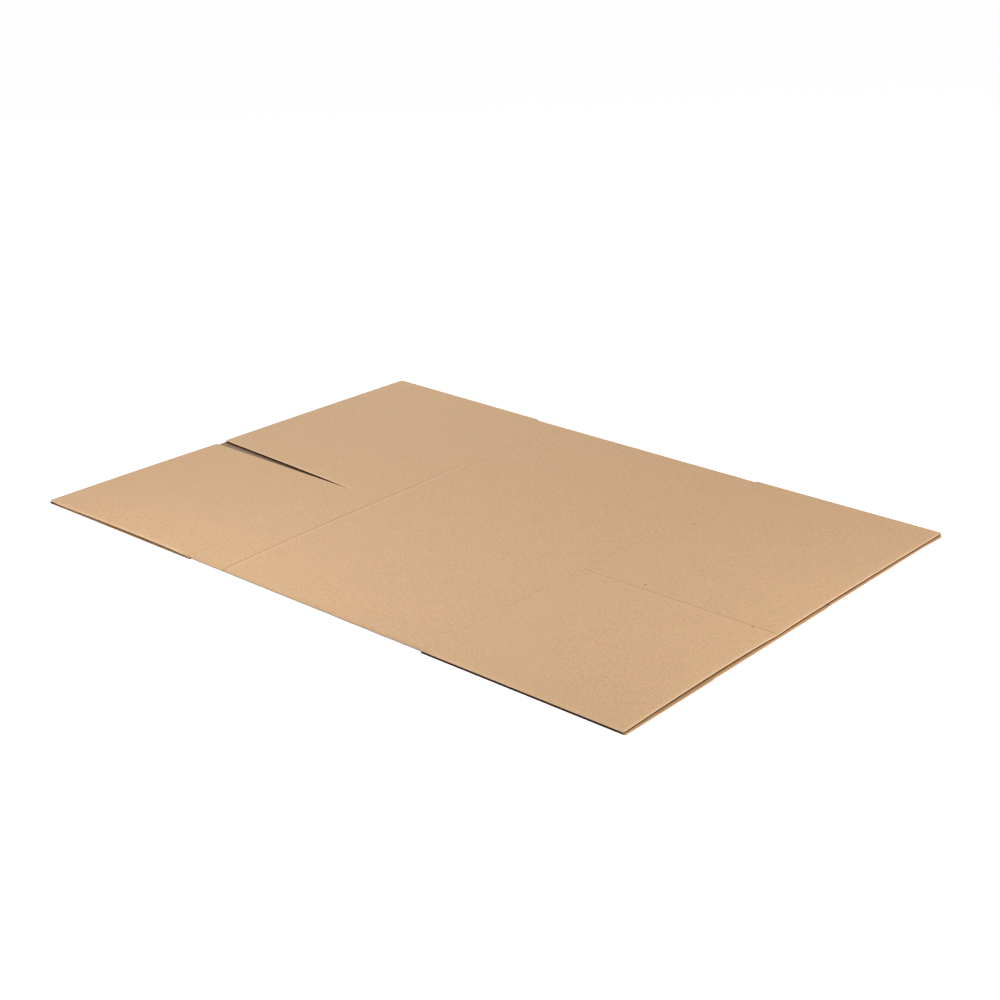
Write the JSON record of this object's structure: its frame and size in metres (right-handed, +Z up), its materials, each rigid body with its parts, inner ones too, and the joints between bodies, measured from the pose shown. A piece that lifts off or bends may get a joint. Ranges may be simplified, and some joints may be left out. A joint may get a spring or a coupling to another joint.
{
  "type": "flattened cardboard box",
  "caption": "Corrugated cardboard carton in the flat: a glued tube of panels with rounded folds, and deep slit flaps that lift at their scores.",
  "frame": {"origin": "centre of the flat carton's underside, on the floor", "axes": "+X along the two folds, which is the height of the carton when it is set up; +Y across the panels, away from the viewer of the picture; +Z up through the layers"},
  "size_m": [1.46, 1.05, 0.0113],
  "materials": {
    "board": "matte"
  },
  "bodies": {
    "carton": {"carton_sheet": "board"},
    "left_near": {"left_near_flap": "board"},
    "left_far": {"left_far_flap": "board"},
    "right_near": {"right_near_flap": "board"},
    "right_far": {"right_far_flap": "board"}
  },
  "joints": [
    {"name": "left_near_score", "type": "hinge", "parent": "carton", "child": "left_near", "pos_m": [-0.3, 0, 0.0063], "axis": [0, 1, 0], "range_deg": [0, 130]},
    {"name": "left_far_score", "type": "hinge", "parent": "carton", "child": "left_far", "pos_m": [-0.3, 0, 0.0063], "axis": [0, 1, 0], "range_deg": [0, 130]},
    {"name": "right_near_score", "type": "hinge", "parent": "carton", "child": "right_near", "pos_m": [0.3, 0, 0.0063], "axis": [0, -1, 0], "range_deg": [0, 130]},
    {"name": "right_far_score", "type": "hinge", "parent": "carton", "child": "right_far", "pos_m": [0.3, 0, 0.0063], "axis": [0, -1, 0], "range_deg": [0, 130]}
  ]
}
